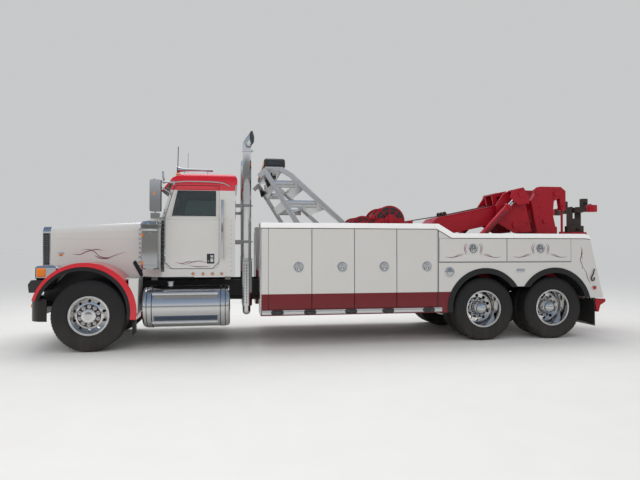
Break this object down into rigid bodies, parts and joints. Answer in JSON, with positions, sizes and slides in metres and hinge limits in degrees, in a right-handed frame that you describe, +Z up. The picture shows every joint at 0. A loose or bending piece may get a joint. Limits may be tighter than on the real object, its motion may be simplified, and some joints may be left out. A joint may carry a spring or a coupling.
{
  "type": "heavy tow truck",
  "caption": "Conventional heavy tow truck with a closed tool body, a lifting and telescoping recovery boom and a folding underlift.",
  "frame": {"origin": "on the ground, under the middle of the truck's length and width", "axes": "+X towards the rear of the truck, -Y the driver's side, +Z up"},
  "size_m": [10.3098, 2.58, 3.5907],
  "materials": {
    "white_paint": "gloss white paint",
    "red_paint": "gloss red paint",
    "chassis_paint": "satin black paint",
    "engine_paint": "dark green paint",
    "chrome": "polished chrome",
    "polished": "polished aluminium",
    "glass": "tinted glass",
    "vinyl": "dark vinyl",
    "black_plastic": "matt black plastic",
    "tyre": "tyre rubber",
    "rubber": "black rubber",
    "worn_steel": "worn greasy dark paint"
  },
  "bodies": {
    "truck": {"frame_rails": "chassis_paint", "axles": "chassis_paint", "engine": "engine_paint", "front_bumper": "chassis_paint", "cab_shell": "white_paint", "cab_roof": "red_paint", "cab_glass": "glass", "cab_interior": "vinyl", "air_cleaners": "chrome", "fuel_tanks": "polished", "exhaust_stacks": "chrome", "mirrors": "chrome", "tool_body_left": "white_paint", "tool_body_right": "white_paint", "mudguards": "rubber", "light_pylon": "polished", "light_bar": "black_plastic", "recovery_frame": "red_paint", "winches": "red_paint"},
    "hood": {"hood": "white_paint", "fenders": "red_paint", "grille_and_lamps": "chrome"},
    "cab_door_left": {"cab_door_left": "white_paint", "door_glass_left": "glass"},
    "tool_door_a_left": {"tool_door_a_left": "white_paint"},
    "tool_door_b_left": {"tool_door_b_left": "white_paint"},
    "tool_door_c_left": {"tool_door_c_left": "white_paint"},
    "tool_door_d_left": {"tool_door_d_left": "white_paint"},
    "tool_door_e_left": {"tool_door_e_left": "white_paint"},
    "tool_door_f_left": {"tool_door_f_left": "white_paint"},
    "knuckle_left": {"knuckle_left": "chassis_paint"},
    "front_wheel_left": {"front_tyre_left": "tyre", "front_rim_left": "polished"},
    "mid_wheel_left": {"mid_tyres_left": "tyre", "mid_rims_left": "polished"},
    "rear_wheel_left": {"rear_tyres_left": "tyre", "rear_rims_left": "polished"},
    "cab_door_right": {"cab_door_right": "white_paint", "door_glass_right": "glass"},
    "tool_door_a_right": {"tool_door_a_right": "white_paint"},
    "tool_door_b_right": {"tool_door_b_right": "white_paint"},
    "tool_door_c_right": {"tool_door_c_right": "white_paint"},
    "tool_door_d_right": {"tool_door_d_right": "white_paint"},
    "tool_door_e_right": {"tool_door_e_right": "white_paint"},
    "tool_door_f_right": {"tool_door_f_right": "white_paint"},
    "knuckle_right": {"knuckle_right": "chassis_paint"},
    "front_wheel_right": {"front_tyre_right": "tyre", "front_rim_right": "polished"},
    "mid_wheel_right": {"mid_tyres_right": "tyre", "mid_rims_right": "polished"},
    "rear_wheel_right": {"rear_tyres_right": "tyre", "rear_rims_right": "polished"},
    "boom": {"boom_outer": "red_paint"},
    "boom_extension": {"boom_inner": "red_paint"},
    "lift_barrels": {"lift_barrels": "red_paint"},
    "lift_rods": {"lift_rods": "chrome"},
    "underlift_carriage": {"underlift_carriage": "red_paint"},
    "stinger": {"stinger_outer": "red_paint"},
    "stinger_extension": {"stinger_inner": "worn_steel"},
    "crossbar": {"crossbar": "worn_steel"}
  },
  "joints": [
    {"name": "hood_tilt", "type": "hinge", "parent": "truck", "child": "hood", "pos_m": [-5.035, 0, 0.915], "axis": [0, -1, 0], "range_deg": [0, 70]},
    {"name": "cab_door_left_swing", "type": "hinge", "parent": "truck", "child": "cab_door_left", "pos_m": [-3.05, -1.02, 1.545], "axis": [0, 0, -1], "range_deg": [0, 70]},
    {"name": "tool_door_a_left_swing", "type": "hinge", "parent": "truck", "child": "tool_door_a_left", "pos_m": [-1.389, -1.28, 1.245], "axis": [0, 0, -1], "range_deg": [0, 100]},
    {"name": "tool_door_b_left_swing", "type": "hinge", "parent": "truck", "child": "tool_door_b_left", "pos_m": [-0.669, -1.28, 1.245], "axis": [0, 0, -1], "range_deg": [0, 100]},
    {"name": "tool_door_c_left_swing", "type": "hinge", "parent": "truck", "child": "tool_door_c_left", "pos_m": [0.051, -1.28, 1.245], "axis": [0, 0, -1], "range_deg": [0, 100]},
    {"name": "tool_door_d_left_swing", "type": "hinge", "parent": "truck", "child": "tool_door_d_left", "pos_m": [0.786, -1.28, 1.245], "axis": [0, 0, -1], "range_deg": [0, 100]},
    {"name": "tool_door_e_left_lift", "type": "hinge", "parent": "truck", "child": "tool_door_e_left", "pos_m": [2.158, -1.28, 1.787], "axis": [-1, 0, 0], "range_deg": [0, 110]},
    {"name": "tool_door_f_left_lift", "type": "hinge", "parent": "truck", "child": "tool_door_f_left", "pos_m": [3.41, -1.28, 1.787], "axis": [-1, 0, 0], "range_deg": [0, 110]},
    {"name": "steer_left", "type": "hinge", "parent": "truck", "child": "knuckle_left", "pos_m": [-4.175, -0.95, 0.5625], "axis": [0, 0, 1], "range_deg": [-30, 30]},
    {"name": "front_wheel_left_spin", "type": "hinge", "parent": "knuckle_left", "child": "front_wheel_left", "pos_m": [-4.175, -1.03, 0.5625], "axis": [0, 1, 0], "continuous": true},
    {"name": "mid_wheel_left_spin", "type": "hinge", "parent": "truck", "child": "mid_wheel_left", "pos_m": [2.39, -0.915, 0.552], "axis": [0, 1, 0], "continuous": true},
    {"name": "rear_wheel_left_spin", "type": "hinge", "parent": "truck", "child": "rear_wheel_left", "pos_m": [3.711, -0.915, 0.552], "axis": [0, 1, 0], "continuous": true},
    {"name": "cab_door_right_swing", "type": "hinge", "parent": "truck", "child": "cab_door_right", "pos_m": [-3.05, 1.02, 1.545], "axis": [0, 0, 1], "range_deg": [0, 70]},
    {"name": "tool_door_a_right_swing", "type": "hinge", "parent": "truck", "child": "tool_door_a_right", "pos_m": [-1.389, 1.28, 1.245], "axis": [0, 0, 1], "range_deg": [0, 100]},
    {"name": "tool_door_b_right_swing", "type": "hinge", "parent": "truck", "child": "tool_door_b_right", "pos_m": [-0.669, 1.28, 1.245], "axis": [0, 0, 1], "range_deg": [0, 100]},
    {"name": "tool_door_c_right_swing", "type": "hinge", "parent": "truck", "child": "tool_door_c_right", "pos_m": [0.051, 1.28, 1.245], "axis": [0, 0, 1], "range_deg": [0, 100]},
    {"name": "tool_door_d_right_swing", "type": "hinge", "parent": "truck", "child": "tool_door_d_right", "pos_m": [0.786, 1.28, 1.245], "axis": [0, 0, 1], "range_deg": [0, 100]},
    {"name": "tool_door_e_right_lift", "type": "hinge", "parent": "truck", "child": "tool_door_e_right", "pos_m": [2.158, 1.28, 1.787], "axis": [1, 0, 0], "range_deg": [0, 110]},
    {"name": "tool_door_f_right_lift", "type": "hinge", "parent": "truck", "child": "tool_door_f_right", "pos_m": [3.41, 1.28, 1.787], "axis": [1, 0, 0], "range_deg": [0, 110]},
    {"name": "steer_right", "type": "hinge", "parent": "truck", "child": "knuckle_right", "pos_m": [-4.175, 0.95, 0.5625], "axis": [0, 0, 1], "range_deg": [-30, 30]},
    {"name": "front_wheel_right_spin", "type": "hinge", "parent": "knuckle_right", "child": "front_wheel_right", "pos_m": [-4.175, 1.03, 0.5625], "axis": [0, 1, 0], "continuous": true},
    {"name": "mid_wheel_right_spin", "type": "hinge", "parent": "truck", "child": "mid_wheel_right", "pos_m": [2.39, 0.915, 0.552], "axis": [0, 1, 0], "continuous": true},
    {"name": "rear_wheel_right_spin", "type": "hinge", "parent": "truck", "child": "rear_wheel_right", "pos_m": [3.711, 0.915, 0.552], "axis": [0, 1, 0], "continuous": true},
    {"name": "boom_lift", "type": "hinge", "parent": "truck", "child": "boom", "pos_m": [1.725, 0, 1.845], "axis": [0, -1, 0], "range_deg": [0, 50]},
    {"name": "boom_extend", "type": "slide", "parent": "boom", "child": "boom_extension", "axis": [0.9789, 0, 0.2045], "range_m": [0, 1.1]},
    {"name": "lift_barrel_swing", "type": "hinge", "parent": "truck", "child": "lift_barrels", "pos_m": [2.245, 0, 1.395], "axis": [0, -1, 0], "range_deg": [0, 46]},
    {"name": "lift_rod_slide", "type": "slide", "parent": "lift_barrels", "child": "lift_rods", "axis": [0.6956, 0, 0.7184], "range_m": [0, 0.56]},
    {"name": "underlift_lift", "type": "slide", "parent": "truck", "child": "underlift_carriage", "axis": [0, 0, 1], "range_m": [-0.3, 0.35]},
    {"name": "stinger_fold", "type": "hinge", "parent": "underlift_carriage", "child": "stinger", "pos_m": [4.845, 0, 0.695], "axis": [0, 1, 0], "range_deg": [0, 90]},
    {"name": "stinger_extend", "type": "slide", "parent": "stinger", "child": "stinger_extension", "axis": [0, 0, 1], "range_m": [0, 0.95]},
    {"name": "crossbar_swivel", "type": "hinge", "parent": "stinger_extension", "child": "crossbar", "pos_m": [4.975, 0, 2.395], "axis": [1, 0, 0], "range_deg": [-40, 40]}
  ],
  "couplings": [
    {"joint": "steer_right", "follows": "steer_left", "ratio": 1},
    {"joint": "lift_barrel_swing", "follows": "boom_lift", "ratio": 0.89249},
    {"joint": "lift_rod_slide", "follows": "boom_lift", "m_per_rad": 0.63006}
  ]
}
